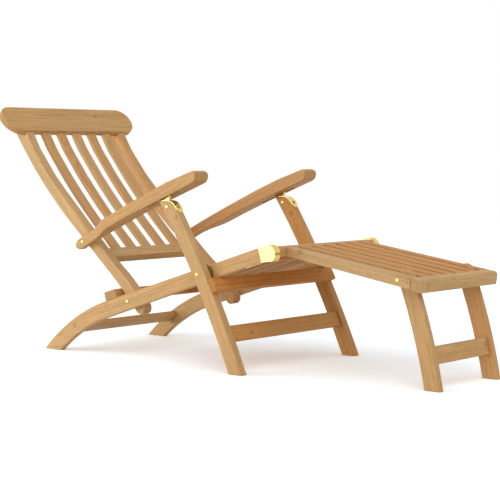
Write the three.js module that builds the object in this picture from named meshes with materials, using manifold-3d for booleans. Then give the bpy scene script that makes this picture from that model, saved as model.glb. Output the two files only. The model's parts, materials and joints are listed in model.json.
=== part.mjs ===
// Steamer deck chair: slatted hardwood frame, folding back and arms, leg rest, brass fittings.
// Millimetres, +Z up, sitter facing -Y. Side outlines are drawn in the Y-Z plane and widened along X.
import * as THREE from 'three';
import { mergeVertices } from 'three/addons/utils/BufferGeometryUtils.js';
import Module from 'manifold-3d';

const wasm = await Module();
wasm.setup();

// Fits shared by every joint
const FIT = 0.3;
const RUN_FIT = 0.5;
const OVERRUN = 2;
const WELD = 0.0001;
const TENON_LENGTH = 12;
const TENON_THICK = 7;
const TENON_SHOULDER = 5;
const EDGE_EASE = 2.5;
const CORNER_RADIUS = 3;
const CORNER_STEPS = 2;
const EASE_STEPS = 1;
const CURVE_STEPS = 14;
const ROUND_SIDES = 20;

// Seat rails, which sweep down into the rear legs
const HINGE = new THREE.Vector2(-218, 373.5);
const SEAT_TILT = 17.1;
const RAIL_OUTER_HALF = 264;
const RAIL_THICK = 22;
const RAIL_TOP = 27.5;
const RAIL_FRONT_BELOW = 16.1;
const RAIL_REAR_BELOW = 26.5;
const BEND_START = 730;
const BEND_RADIUS = 742;
const STILE_GAP = 2;

// Brass caps over the rails' front ends
const CAP_WALL = 1.5;
const CAP_CHEEK = 2.7;
const CAP_RADIUS = 27.7;
const CAP_REACH = 32;
const CAP_TURN = 248;
const CAP_STRIP_LENGTH = 65;
const HINGE_PIN_RADIUS = 5;
const HINGE_PIN_REACH = 35;

// Bars between the seat rails
const STOP_BAR_PLACE = 680;
const STOP_BAR_WIDE = 53;
const STOP_BAR_TALL = 29;
const REAR_STRETCHER_TURN = 56.4;
const REAR_STRETCHER_WIDE = 48;
const REAR_STRETCHER_THICK = 19;
const REAR_STRETCHER_SINK = 17.8;
const SEAT_FRONT_RAIL_PLACE = 37;
const SEAT_FRONT_RAIL_THICK = 24;
const SEAT_FRONT_RAIL_BELOW = 14;
const SEAT_REAR_RAIL_PLACE = 439.5;
const SEAT_REAR_RAIL_THICK = 22;
const SEAT_REAR_RAIL_BELOW = 20.7;

// Seat slats
const SEAT_SLATS = 5;
const SEAT_SLAT_WIDE = 66;
const SEAT_SLAT_GAP = 19;
const SEAT_SLAT_THICK = 18;
const SEAT_SLAT_SINK = 0.5;
const SEAT_SLAT_START = 35;
const SEAT_SLAT_END = 522;

// Backrest, along a line that rises rearwards from its pivot
const BACK_PIVOT = new THREE.Vector2(387, 190.5);
const BACK_RISE = 45;
const BACK_LENGTH = 880;
const STILE_DEPTH = 40;
const STILE_THICK = 35.5;
const STILE_FRONT_SHARES = [
  [0.0433, 0.79], [0.1103, 0.74], [0.2033, 0.51], [0.3153, 0.35], [0.5382, 0.125],
  [0.7345, 0], [0.8396, 0.14], [0.9181, 0.275], [0.999, 0.66],
];
const STILE_REAR_SHARES = [
  [0.983, -0.05], [0.905, -0.45], [0.801, -0.75], [0.672, -1], [0.519, -1],
  [0.436, -0.8875], [0.301, -0.65], [0.191, -0.45], [0.077, -0.275], [-0.025, -0.3],
];
const LOBE_DROP = 40;
const LOBE_FORWARD = 9;
const LOBE_RADIUS = 21.5;
const LOBE_ARC = [90, 270];
const BACK_RAIL_PLACE = 182;
const BACK_RAIL_TALL = 40;
const BACK_RAIL_THICK = 32;
const BACK_RAIL_FORWARD = 14;
const BACK_SLATS = 5;
const BACK_SLAT_WIDE = 37;
const BACK_SLAT_PITCH = 73;
const BACK_SLAT_THICK = 12;
const BACK_SLAT_SHARES = [
  [0, -0.04], [0.348, -0.2], [0.6255, -0.1], [0.774, 0.075], [0.885, 0.225], [1, 0.56],
];

// Headrest plank
const HEADREST_TALL = 114;
const HEADREST_THICK = 25;
const HEADREST_FORWARD = 33;
const HEADREST_TILT = 2;
const HEADREST_HALF = 308;
const HEADREST_TOP_CORNER = 48;
const HEADREST_LOW_CORNER = 62;
const HEADREST_HALVING = 93;
const HEADREST_EASE = 4;

// Arms
const ARM_PIVOT = new THREE.Vector2(597, 378);
const ARM_RISE = 23.6;
const ARM_REAR_HALF = 267;
const ARM_FRONT_HALF = 304;
const ARM_REACH = 597;
const ARM_FLARE_START = 62;
const ARM_FLARE_END = 160;
const ARM_REAR_RADIUS = 18;
const ARM_REAR_PLACE = 20;
const ARM_EDGE = 9;
const ARM_UNDER_EDGE = 3;
const ARM_CORNER = 3;
const ARM_NOSE_OVER = 12;
const ARM_NOSE_UNDER = 25;
const ARM_DEPTH = 40;
const ARM_TOP_SHARES = [
  [-0.035, 0.44], [0.13, 0.535], [0.31, 0.59], [0.5, 0.59], [0.68, 0.57], [0.85, 0.45], [1.01, 0.18],
];
const ARM_UNDER_SHARES = [
  [-0.035, -0.475], [0.12, -0.36], [0.25, -0.37], [0.366, -0.355],
  [0.618, -0.45], [0.846, -0.61], [1.01, -0.73],
];

// Notched slot under each arm
const SLOT_HALF = 286;
const SLOT_WIDE = 13;
const SLOT_DEPTH = 21;
const SLOT_START = 351;
const SLOT_END = 504;
const RACK_BACK = 5;
const RACK_TOOTH = 6;
const RACK_TOOTH_LONG = 7;
const NOTCHES = 3;
const ARM_FLARE_RINGS = 5;
const ARM_BODY_SHARES = [0.25, 0.5, 0.75];
const ARM_NOSE_SHARES = [0, 0.3, 0.52, 0.7, 0.84, 0.93, 0.98, 1];
const ARM_REAR_TURNS = [75, 60, 40, 20, 0];

// Front leg frame
const LEG_PIVOT = new THREE.Vector2(39.2, 300.2);
const LEG_GAP = 8;
const LEG_THICK = 30;
const LEG_WIDE = 48;
const LEG_FOOT = -115;
const LEG_FOOT_RISE = 66.5;
const LEG_BOW_RADIUS = 3180;
const LEG_HEIGHT = 525;
const LEG_TOP_RADIUS = 40;
const LEG_CROSS_HEIGHT = 252;
const LEG_CROSS_WIDE = 45;
const LEG_CROSS_THICK = 21;
const LEG_STRETCHER_HEIGHT = 117;
const LEG_STRETCHER_WIDE = 50;
const LEG_STRETCHER_THICK = 22;
const LEG_STRETCHER_SETBACK = 8;

// Brass hook on each front leg's top
const HOOK_WIDE = 28;
const HOOK_THICK = 2;
const HOOK_DROP = 22;
const LUG_THICK = 8;
const LUG_LONG = 20;
const LUG_PLACE = 181.5;
const LUG_RISE = 20.5;
const LUG_TANG = 28;
const LUG_TANG_LONG = 10;
const HOOK_BOLT = new THREE.Vector2(168.5, 507);
const HOOK_SCREW_TURN = 148;
const HOOK_SCREW_HEAD = 5;
const HOOK_SCREW_LONG = 22;
const HOOK_SCREW_SHANK = 2;
const SCREW_SLOT = 1.2;

// Leg rest
const REST_TILT = 8.5;
const REST_TOP = 22;
const REST_HINGE_REAR = 7;
const REST_HINGE_FRONT = 21.5;
const REST_HINGE_BELOW = 7;
const REST_RAIL_INNER = 167;
const REST_RAIL_OUTER = 204;
const REST_RAIL_REAR_DEPTH = 27;
const REST_RAIL_FRONT_DEPTH = 34;
const REST_END_PLACE = 479;
const REST_END_THICK = 38;
const REST_END_DEPTH = 38;
const REST_NOSE = 13;
const REST_SLATS = 5;
const REST_SLAT_WIDE = 38;
const REST_SLAT_PITCH = 62;
const REST_SLAT_THICK = 16;

// Legs under the leg rest
const PROP_PIVOT = new THREE.Vector2(-648, 315);
const PROP_FOOT = -742;
const PROP_FOOT_RISE = 79.2;
const PROP_BOW_RADIUS = 1700;
const PROP_WIDE = 53;
const PROP_THICK = 22;
const PROP_GAP = 1;
const PROP_TOP_RADIUS = 28;
const PROP_TOP_WRAP = 15;
const PROP_NECK = 16;
const PROP_STRETCHER_HEIGHT = 97;
const PROP_STRETCHER_WIDE = 53;
const PROP_STRETCHER_THICK = 20;
const PROP_STRETCHER_FORWARD = 6;

// Brass bolts and discs
const BOLT_SHANK = 4;
const BOLT_HEAD = 6.5;
const BOLT_HEAD_TALL = 3;
const BOLT_DIMPLE = 2;
const BOLT_DIMPLE_DEEP = 1.2;
const BLIND_END = 6;
const DISC_RADIUS = 34.5;

// Sizes that follow from the values above
const RAIL_INNER_HALF = RAIL_OUTER_HALF - RAIL_THICK;
const STILE_OUTER_HALF = RAIL_INNER_HALF - STILE_GAP;
const STILE_INNER_HALF = STILE_OUTER_HALF - STILE_THICK;
const LEG_INNER_HALF = RAIL_OUTER_HALF + LEG_GAP;
const LEG_OUTER_HALF = LEG_INNER_HALF + LEG_THICK;
const ARM_INNER_HALF = STILE_OUTER_HALF + RUN_FIT;
const PROP_OUTER_HALF = REST_RAIL_INNER - PROP_GAP;
const PROP_INNER_HALF = PROP_OUTER_HALF - PROP_THICK;

const QUARTER = 90;
const HALF_TURN = 180;
const SIDES = [[-1, 'right'], [1, 'left']];

const chair = new THREE.Group();
const model = new THREE.Group();
chair.add(model);

// Side-plane frames: a place along a line and a distance across it
function axesAt(origin, degrees, hand) {
  const turn = THREE.MathUtils.degToRad(degrees);
  const lengthwise = new THREE.Vector2(Math.cos(turn), Math.sin(turn));
  const sideways = new THREE.Vector2(-hand * Math.sin(turn), hand * Math.cos(turn));
  return (along, across) => {
    const place = origin.clone().addScaledVector(lengthwise, along);
    return place.addScaledVector(sideways, across);
  };
}

const level = axesAt(new THREE.Vector2(0, 0), 0, 1);
const onSeat = axesAt(HINGE, -SEAT_TILT, 1);
const onBack = axesAt(BACK_PIVOT, BACK_RISE, 1);
const onArm = axesAt(ARM_PIVOT, HALF_TURN - ARM_RISE, -1);
const onRest = axesAt(HINGE, HALF_TURN + REST_TILT, -1);
const headrestFoot = onBack(BACK_LENGTH - HEADREST_TALL, HEADREST_FORWARD);
const onHeadrest = axesAt(headrestFoot, BACK_RISE + HEADREST_TILT, 1);

function arcPoints(center, radius, fromDegrees, toDegrees, steps = CURVE_STEPS) {
  const points = [];
  for (let step = 0; step <= steps; step += 1) {
    const turn = THREE.MathUtils.degToRad(THREE.MathUtils.lerp(fromDegrees, toDegrees, step / steps));
    points.push(new THREE.Vector2(center.x + radius * Math.cos(turn), center.y + radius * Math.sin(turn)));
  }
  return points;
}

function curvePoints(frame, shares, lengthScale, depthScale, shift = 0, steps = CURVE_STEPS) {
  const places = shares.map(([along, across]) => frame(along * lengthScale, across * depthScale + shift));
  return new THREE.SplineCurve(places).getPoints(steps);
}

// Outline through corners, each one rounded
function roundedOutline(corners, radius) {
  const points = [];
  corners.forEach((corner, index) => {
    const before = corners[(index + corners.length - 1) % corners.length];
    const after = corners[(index + 1) % corners.length];
    const from = corner.clone().lerp(before, radius / corner.distanceTo(before));
    const to = corner.clone().lerp(after, radius / corner.distanceTo(after));
    points.push(...new THREE.QuadraticBezierCurve(from, corner, to).getPoints(CORNER_STEPS));
  });
  return points;
}

function rectangle(frame, start, end, low, high) {
  return [frame(start, low), frame(end, low), frame(end, high), frame(start, high)];
}

function roundedRectangle(frame, start, end, low, high, radius = CORNER_RADIUS) {
  return roundedOutline(rectangle(frame, start, end, low, high), radius);
}

// A piece cut to a side-plane outline, between two places along X, with its outline's edges eased
function slab(outline, from, to, ease = 0) {
  const depth = to - from - ease - ease;
  const settings = { depth, bevelEnabled: ease > 0, steps: 1 };
  if (ease > 0) {
    settings.bevelSize = ease;
    settings.bevelThickness = ease;
    settings.bevelOffset = -ease;
    settings.bevelSegments = EASE_STEPS;
  }
  const geometry = new THREE.ExtrudeGeometry(new THREE.Shape(outline), settings);
  geometry.translate(0, 0, from + ease);
  const alongY = new THREE.Vector3(0, 1, 0);
  const alongZ = new THREE.Vector3(0, 0, 1);
  const alongX = new THREE.Vector3(1, 0, 0);
  geometry.applyMatrix4(new THREE.Matrix4().makeBasis(alongY, alongZ, alongX));
  return geometry;
}

function sideSlab(side, outline, inner, outer, ease = 0) {
  return side > 0 ? slab(outline, inner, outer, ease) : slab(outline, -outer, -inner, ease);
}

function centredSlab(outline, center, width, ease = 0) {
  return slab(outline, center - width / 2, center + width / 2, ease);
}

// Round rod along X on one side of the chair
function sideRod(side, center, radius, inner, outer) {
  const geometry = new THREE.CylinderGeometry(radius, radius, outer - inner, ROUND_SIDES);
  geometry.rotateZ(THREE.MathUtils.degToRad(QUARTER));
  geometry.translate(side * (inner + outer) / 2, center.x, center.y);
  return geometry;
}

// Solid cuts and joins
function solidOf(geometry) {
  const bare = geometry.clone();
  bare.deleteAttribute('normal');
  bare.deleteAttribute('uv');
  const welded = mergeVertices(bare, WELD);
  const vertProperties = new Float32Array(welded.attributes.position.array);
  const triVerts = new Uint32Array(welded.index.array);
  return new wasm.Manifold(new wasm.Mesh({ numProp: 3, vertProperties, triVerts }));
}

function geometryOf(solid) {
  const mesh = solid.getMesh();
  const geometry = new THREE.BufferGeometry();
  geometry.setAttribute('position', new THREE.BufferAttribute(mesh.vertProperties, mesh.numProp));
  geometry.setIndex(new THREE.BufferAttribute(mesh.triVerts, 1));
  geometry.computeVertexNormals();
  return geometry;
}

function cut(geometry, cutters) {
  let solid = solidOf(geometry);
  for (const cutter of cutters) {
    solid = solid.subtract(solidOf(cutter));
  }
  return geometryOf(solid);
}

function join(geometry, others) {
  let solid = solidOf(geometry);
  for (const other of others) {
    solid = solid.add(solidOf(other));
  }
  return geometryOf(solid);
}

function common(geometry, other) {
  return geometryOf(solidOf(geometry).intersect(solidOf(other)));
}

// Colours of the oiled timber and the polished brass
function paleTimber() {
  return new THREE.MeshStandardMaterial({ color: 0xcda275, roughness: 0.6, metalness: 0 });
}

function goldenTimber() {
  return new THREE.MeshStandardMaterial({ color: 0xbd8b59, roughness: 0.6, metalness: 0 });
}

function brownTimber() {
  return new THREE.MeshStandardMaterial({ color: 0xa8754a, roughness: 0.6, metalness: 0 });
}

function polishedBrass() {
  return new THREE.MeshStandardMaterial({ color: 0xe6cf85, roughness: 0.3, metalness: 1 });
}

function add(name, geometry, material) {
  const mesh = new THREE.Mesh(geometry, material);
  mesh.name = name;
  model.add(mesh);
}

// Places across the chair for a row of like slats
function rowPlaces(count, pitch) {
  const first = -pitch * (count - 1) / 2;
  return Array.from({ length: count }, (_, index) => first + index * pitch);
}

// A bar between two pieces, with a thinner tenon past each end
function tenonedBar(outline, tenon, half, ease = EDGE_EASE) {
  const body = slab(outline, -half + FIT, half - FIT, ease);
  const tongue = slab(tenon, -half - TENON_LENGTH, half + TENON_LENGTH);
  return join(body, [tongue]);
}

function mortiseOutline(frame, start, end, low, high) {
  return rectangle(frame, start - FIT, end + FIT, low - FIT, high + FIT);
}

function mortise(side, frame, start, end, low, high, mouth) {
  const outline = mortiseOutline(frame, start, end, low, high);
  return sideSlab(side, outline, mouth - OVERRUN, mouth + TENON_LENGTH + FIT);
}

// Brass bolt with a domed, dimpled head whose underside lies on a face
function bolt(side, center, face, tip, head = BOLT_HEAD) {
  const profile = new THREE.Path();
  profile.moveTo(0, tip - face);
  profile.lineTo(BOLT_SHANK, tip - face);
  profile.lineTo(BOLT_SHANK, FIT);
  profile.lineTo(head, FIT);
  profile.quadraticCurveTo(head, BOLT_HEAD_TALL, BOLT_DIMPLE, BOLT_HEAD_TALL);
  profile.lineTo(0, BOLT_HEAD_TALL - BOLT_DIMPLE_DEEP);
  const geometry = new THREE.LatheGeometry(profile.getPoints(CORNER_STEPS + CORNER_STEPS), ROUND_SIDES);
  geometry.rotateZ(THREE.MathUtils.degToRad(-side * QUARTER));
  geometry.translate(side * face, center.x, center.y);
  return geometry;
}

// The same bolt with a second head on the far face, where its nut would be
function throughBolt(side, center, face, farFace) {
  const near = bolt(side, center, face, (face + farFace) / 2);
  const far = bolt(-side, center, -farFace, -(face + farFace) / 2);
  return join(near, [far]);
}

function boltHole(side, center, inner, outer) {
  return sideRod(side, center, BOLT_SHANK + FIT, inner, outer);
}

// Seat rail outlines
const bendCenter = onSeat(BEND_START, RAIL_TOP - BEND_RADIUS);
const railDepth = RAIL_TOP + RAIL_REAR_BELOW;
const coreRadius = CAP_RADIUS - CAP_WALL - FIT;

function railBelow(place) {
  const share = (place - CAP_REACH) / (BEND_START - CAP_REACH);
  return THREE.MathUtils.lerp(RAIL_FRONT_BELOW, RAIL_REAR_BELOW, share);
}

function bendArc(radius, fromTop) {
  const top = QUARTER - SEAT_TILT;
  const floor = THREE.MathUtils.radToDeg(Math.asin(-bendCenter.y / radius));
  return fromTop ? arcPoints(bendCenter, radius, top, floor) : arcPoints(bendCenter, radius, floor, top);
}

function capFront(grow, reach) {
  const radius = coreRadius + grow;
  const top = onSeat(reach, radius);
  const bottom = onSeat(reach, -RAIL_FRONT_BELOW - grow);
  const front = arcPoints(HINGE, radius, QUARTER - SEAT_TILT, CAP_TURN - SEAT_TILT);
  return [top, ...front, bottom];
}

function railOutline() {
  const coreReach = CAP_REACH + FIT;
  const topShoulder = onSeat(coreReach, RAIL_TOP);
  const front = capFront(0, coreReach).reverse();
  return [...front, topShoulder, ...bendArc(BEND_RADIUS, true), ...bendArc(BEND_RADIUS - railDepth, false)];
}

// Places of the bars' ends in the rails
const stretcherRadius = BEND_RADIUS - REAR_STRETCHER_SINK;
const [stretcherMiddle] = arcPoints(bendCenter, stretcherRadius, REAR_STRETCHER_TURN, QUARTER, 1);
const onStretcher = axesAt(stretcherMiddle, REAR_STRETCHER_TURN - QUARTER, 1);
const seatSlatTop = RAIL_TOP - SEAT_SLAT_SINK;
const seatSlatUnder = seatSlatTop - SEAT_SLAT_THICK;
const seatRailTop = seatSlatUnder - FIT;
const seatBars = [
  ['seat_front_rail', SEAT_FRONT_RAIL_PLACE, SEAT_FRONT_RAIL_THICK, SEAT_FRONT_RAIL_BELOW],
  ['seat_rear_rail', SEAT_REAR_RAIL_PLACE, SEAT_REAR_RAIL_THICK, SEAT_REAR_RAIL_BELOW],
];

function seatBarTenon(place, thick, below) {
  const spare = (thick - TENON_THICK) / 2;
  return [place + spare, place + thick - spare, -below + TENON_SHOULDER, seatRailTop - TENON_SHOULDER];
}

function stretcherTenon() {
  const half = REAR_STRETCHER_WIDE / 2 - TENON_SHOULDER;
  return [-half, half, -TENON_THICK / 2, TENON_THICK / 2];
}

function seatRail(side) {
  const cutters = [
    boltHole(side, BACK_PIVOT, RAIL_INNER_HALF - OVERRUN, RAIL_OUTER_HALF + OVERRUN),
    boltHole(side, LEG_PIVOT, RAIL_INNER_HALF - OVERRUN, RAIL_OUTER_HALF + OVERRUN),
    sideRod(side, HINGE, HINGE_PIN_RADIUS + FIT, RAIL_INNER_HALF - OVERRUN, RAIL_OUTER_HALF - CAP_WALL),
    mortise(side, onStretcher, ...stretcherTenon(), RAIL_INNER_HALF),
  ];
  for (const [, place, thick, below] of seatBars) {
    cutters.push(mortise(side, onSeat, ...seatBarTenon(place, thick, below), RAIL_INNER_HALF));
  }
  return cut(sideSlab(side, railOutline(), RAIL_INNER_HALF, RAIL_OUTER_HALF, EDGE_EASE), cutters);
}

function hingeCap(side) {
  const inner = STILE_OUTER_HALF;
  const outer = RAIL_OUTER_HALF + FIT + CAP_CHEEK;
  const shell = sideSlab(side, capFront(CAP_WALL + FIT, CAP_REACH), inner, outer);
  const hollowOutline = capFront(FIT, CAP_REACH + OVERRUN);
  const hollow = sideSlab(side, hollowOutline, RAIL_INNER_HALF - FIT, RAIL_OUTER_HALF + FIT);
  const pinHole = sideRod(side, HINGE, HINGE_PIN_RADIUS + FIT, inner - OVERRUN, RAIL_INNER_HALF);
  const stripEnd = CAP_REACH + CAP_STRIP_LENGTH;
  const stripStart = CAP_REACH - FIT;
  const strip = [
    onSeat(stripStart, -railBelow(stripStart) - FIT),
    onSeat(stripEnd, -railBelow(stripEnd) - FIT),
    onSeat(stripEnd, -railBelow(stripEnd) - FIT - CAP_WALL),
    onSeat(stripStart, -railBelow(stripStart) - FIT - CAP_WALL),
  ];
  const open = cut(shell, [hollow, pinHole]);
  return join(open, [sideSlab(side, strip, RAIL_INNER_HALF, RAIL_OUTER_HALF)]);
}

function stopBar() {
  const low = RAIL_TOP + FIT;
  const outline = roundedRectangle(
    onSeat, STOP_BAR_PLACE, STOP_BAR_PLACE + STOP_BAR_WIDE, low, low + STOP_BAR_TALL,
  );
  return slab(outline, -RAIL_OUTER_HALF, RAIL_OUTER_HALF, EDGE_EASE);
}

function rearStretcher() {
  const half = REAR_STRETCHER_WIDE / 2;
  const depth = REAR_STRETCHER_THICK / 2;
  const tenon = rectangle(onStretcher, ...stretcherTenon());
  return tenonedBar(roundedRectangle(onStretcher, -half, half, -depth, depth), tenon, RAIL_INNER_HALF);
}

function seatBar(place, thick, below) {
  const outline = roundedRectangle(onSeat, place, place + thick, -below, seatRailTop);
  return tenonedBar(outline, rectangle(onSeat, ...seatBarTenon(place, thick, below)), RAIL_INNER_HALF);
}

function seatSlat(center) {
  const outline = roundedRectangle(onSeat, SEAT_SLAT_START, SEAT_SLAT_END, seatSlatUnder, seatSlatTop);
  return centredSlab(outline, center, SEAT_SLAT_WIDE, EDGE_EASE);
}

function hingePin(side) {
  const inner = STILE_OUTER_HALF - HINGE_PIN_REACH;
  return sideRod(side, HINGE, HINGE_PIN_RADIUS, inner, RAIL_OUTER_HALF - CAP_CHEEK);
}

const backSlatPlaces = rowPlaces(BACK_SLATS, BACK_SLAT_PITCH);
const restSlatPlaces = rowPlaces(REST_SLATS, REST_SLAT_PITCH);
const legStretcherFront = LEG_WIDE / 2 - LEG_STRETCHER_SETBACK;
const hookMiddle = LEG_INNER_HALF + LEG_THICK / 2;
const notchPitch = LUG_LONG + RACK_TOOTH_LONG + RUN_FIT + RUN_FIT;
const armAxis = onArm(1, 0).sub(onArm(0, 0));
const lugOnArm = new THREE.Vector2(LUG_PLACE, LEG_HEIGHT + LUG_RISE / 2).sub(ARM_PIVOT).dot(armAxis);

// Backrest
const halvingLow = BACK_LENGTH - HEADREST_TALL;
const backRailTop = BACK_RAIL_PLACE + BACK_RAIL_TALL;
const backSlatLong = halvingLow - FIT - backRailTop - FIT;
const onBackSlat = axesAt(onBack(backRailTop + FIT, 0), BACK_RISE, 1);
const backRailRear = BACK_RAIL_FORWARD - BACK_RAIL_THICK;
const backTenonFront = (BACK_RAIL_FORWARD + backRailRear + TENON_THICK) / 2;
const [[, slatFootShare]] = BACK_SLAT_SHARES;
const backSlatTongueRear = slatFootShare * STILE_DEPTH - (BACK_SLAT_THICK + TENON_THICK) / 2;
const [, slatHeadShare] = BACK_SLAT_SHARES[BACK_SLAT_SHARES.length - 1];
const headTongueFront = slatHeadShare * STILE_DEPTH - (BACK_SLAT_THICK - TENON_THICK) / 2;

function stileOutline() {
  const [lobeStart, lobeEnd] = LOBE_ARC;
  const front = curvePoints(onBack, STILE_FRONT_SHARES, halvingLow, STILE_DEPTH);
  const rear = curvePoints(onBack, STILE_REAR_SHARES, BACK_LENGTH, STILE_DEPTH);
  const shoulder = onHeadrest(-FIT, -HEADREST_THICK - FIT);
  const tip = onHeadrest(HEADREST_HALVING, -HEADREST_THICK - FIT);
  const lobeCenter = onBack(-LOBE_DROP, LOBE_FORWARD);
  const lobe = arcPoints(lobeCenter, LOBE_RADIUS, BACK_RISE + lobeEnd, BACK_RISE + lobeStart);
  return [...front, shoulder, tip, ...rear, ...lobe];
}

function backRailTenon() {
  const low = BACK_RAIL_PLACE + TENON_SHOULDER;
  return [low, backRailTop - TENON_SHOULDER, backTenonFront - TENON_THICK, backTenonFront];
}

function stile(side) {
  const cutters = [
    boltHole(side, BACK_PIVOT, STILE_OUTER_HALF - STILE_THICK + BLIND_END, STILE_OUTER_HALF + OVERRUN),
    boltHole(side, ARM_PIVOT, STILE_OUTER_HALF - STILE_THICK + BLIND_END, STILE_OUTER_HALF + OVERRUN),
    mortise(side, onBack, ...backRailTenon(), STILE_INNER_HALF),
  ];
  return cut(sideSlab(side, stileOutline(), STILE_INNER_HALF, STILE_OUTER_HALF, EDGE_EASE), cutters);
}

function backRail() {
  const outline = roundedRectangle(onBack, BACK_RAIL_PLACE, backRailTop, backRailRear, BACK_RAIL_FORWARD);
  const bar = tenonedBar(outline, rectangle(onBack, ...backRailTenon()), STILE_INNER_HALF);
  return cut(bar, backSlatPlaces.map((center) => backSlatFootMortise(center)));
}

function backSlatFootMortise(center) {
  const low = backRailTop - TENON_LENGTH;
  const rear = backSlatTongueRear;
  const outline = mortiseOutline(onBack, low, backRailTop + OVERRUN, rear, rear + TENON_THICK);
  return centredSlab(outline, center, BACK_SLAT_WIDE + FIT + FIT);
}

function backSlatHeadMortise(center) {
  const high = halvingLow + TENON_LENGTH;
  const front = headTongueFront;
  const outline = mortiseOutline(onBack, halvingLow - OVERRUN, high, front - TENON_THICK, front);
  return centredSlab(outline, center, BACK_SLAT_WIDE + FIT + FIT);
}

// A back slat follows the stiles' curve and ends in a tongue at the rail and at the headrest
function backSlat(center) {
  const shares = BACK_SLAT_SHARES;
  const front = curvePoints(onBackSlat, shares, backSlatLong, STILE_DEPTH);
  const rear = curvePoints(onBackSlat, shares, backSlatLong, STILE_DEPTH, -BACK_SLAT_THICK).reverse();
  const headFront = headTongueFront;
  const headRear = headTongueFront - TENON_THICK;
  const headTip = halvingLow + TENON_LENGTH;
  const footRear = backSlatTongueRear;
  const footTip = backRailTop - TENON_LENGTH;
  const headTongue = [
    onBack(halvingLow - FIT, headFront), onBack(headTip, headFront),
    onBack(headTip, headRear), onBack(halvingLow - FIT, headRear),
  ];
  const footTongue = [
    onBack(backRailTop + FIT, footRear), onBack(footTip, footRear),
    onBack(footTip, footRear + TENON_THICK), onBack(backRailTop + FIT, footRear + TENON_THICK),
  ];
  return centredSlab([...front, ...headTongue, ...rear, ...footTongue], center, BACK_SLAT_WIDE);
}

function headrest() {
  const topHalf = HEADREST_HALF - HEADREST_TOP_CORNER;
  const lowHalf = HEADREST_HALF - HEADREST_LOW_CORNER;
  const high = HEADREST_TALL - HEADREST_TOP_CORNER;
  const low = HEADREST_LOW_CORNER;
  const face = new THREE.Shape();
  face.absarc(topHalf, high, HEADREST_TOP_CORNER, 0, Math.PI / 2, false);
  face.absarc(-topHalf, high, HEADREST_TOP_CORNER, Math.PI / 2, Math.PI, false);
  face.absarc(-lowHalf, low, HEADREST_LOW_CORNER, Math.PI, Math.PI * 3 / 2, false);
  face.absarc(lowHalf, low, HEADREST_LOW_CORNER, Math.PI * 3 / 2, Math.PI * 2, false);
  const geometry = new THREE.ExtrudeGeometry(face, {
    depth: HEADREST_THICK - HEADREST_EASE - HEADREST_EASE,
    bevelEnabled: true,
    bevelSize: HEADREST_EASE,
    bevelThickness: HEADREST_EASE,
    bevelOffset: -HEADREST_EASE,
    bevelSegments: EASE_STEPS + EASE_STEPS,
    curveSegments: CURVE_STEPS,
  });
  geometry.translate(0, 0, HEADREST_EASE - HEADREST_THICK);
  const up = onHeadrest(1, 0).sub(onHeadrest(0, 0));
  const forward = onHeadrest(0, 1).sub(onHeadrest(0, 0));
  const alongX = new THREE.Vector3(1, 0, 0);
  const alongUp = new THREE.Vector3(0, up.x, up.y);
  const alongForward = new THREE.Vector3(0, forward.x, forward.y);
  geometry.applyMatrix4(new THREE.Matrix4().makeBasis(alongX, alongUp, alongForward));
  geometry.translate(0, headrestFoot.x, headrestFoot.y);
  return cut(geometry, backSlatPlaces.map((center) => backSlatHeadMortise(center)));
}

// Arms: rings of a rounded section, lofted from the rear end to the nose
function armRing(side, place, inner, outer, low, high) {
  const over = Math.min(ARM_EDGE, (high - low) / 2, (outer - inner) / 2);
  const under = Math.min(ARM_UNDER_EDGE, over);
  const corners = [
    [outer - under, low + under, under, -QUARTER],
    [outer - over, high - over, over, 0],
    [inner + over, high - over, over, QUARTER],
    [inner + under, low + under, under, HALF_TURN],
  ];
  const ring = [];
  for (const [x, height, radius, turn] of corners) {
    const center = new THREE.Vector2(x, height);
    for (const point of arcPoints(center, radius, turn, turn + QUARTER, CORNER_STEPS)) {
      const spot = onArm(place, point.y);
      ring.push(new THREE.Vector3(side * point.x, spot.x, spot.y));
    }
  }
  return side > 0 ? ring : ring.reverse();
}

function loft(rings) {
  const count = rings[0].length;
  const positions = rings.flatMap((ring) => ring.flatMap((point) => point.toArray()));
  const index = [];
  for (let row = 0; row + 1 < rings.length; row += 1) {
    for (let spot = 0; spot < count; spot += 1) {
      const next = (spot + 1) % count;
      const here = row * count;
      const there = here + count;
      index.push(here + spot, here + next, there + next);
      index.push(here + spot, there + next, there + spot);
    }
  }
  const last = (rings.length - 1) * count;
  for (let spot = 1; spot + 1 < count; spot += 1) {
    index.push(0, spot + 1, spot);
    index.push(last, last + spot, last + spot + 1);
  }
  const geometry = new THREE.BufferGeometry();
  geometry.setAttribute('position', new THREE.Float32BufferAttribute(positions, 3));
  geometry.setIndex(index);
  geometry.computeVertexNormals();
  return geometry;
}

function heightCurve(shares) {
  const curve = new THREE.SplineCurve(shares.map(([along, across]) => new THREE.Vector2(along, across)));
  const samples = curve.getPoints(CURVE_STEPS * CURVE_STEPS);
  return (place) => {
    const share = place / ARM_REACH;
    const after = Math.max(1, samples.findIndex((sample) => sample.x >= share));
    const [from, to] = [samples[after - 1], samples[after]];
    return ARM_DEPTH * THREE.MathUtils.mapLinear(share, from.x, to.x, from.y, to.y);
  };
}

const armTop = heightCurve(ARM_TOP_SHARES);
const armUnder = heightCurve(ARM_UNDER_SHARES);

// How far a round corner of some radius has come in at a place near the nose
function cornerInset(place, radius) {
  const past = Math.max(0, place - (ARM_REACH - radius));
  return radius - Math.sqrt(Math.max(0, radius * radius - past * past));
}

function armSection(place) {
  const flare = THREE.MathUtils.smoothstep(place, ARM_FLARE_START, ARM_FLARE_END);
  const full = THREE.MathUtils.lerp(ARM_REAR_HALF, ARM_FRONT_HALF, flare);
  const corner = cornerInset(place, ARM_CORNER);
  const low = armUnder(place) + cornerInset(place, ARM_NOSE_UNDER);
  const high = armTop(place) - cornerInset(place, ARM_NOSE_OVER);
  return [ARM_INNER_HALF + corner, full - corner, low, high];
}

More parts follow.
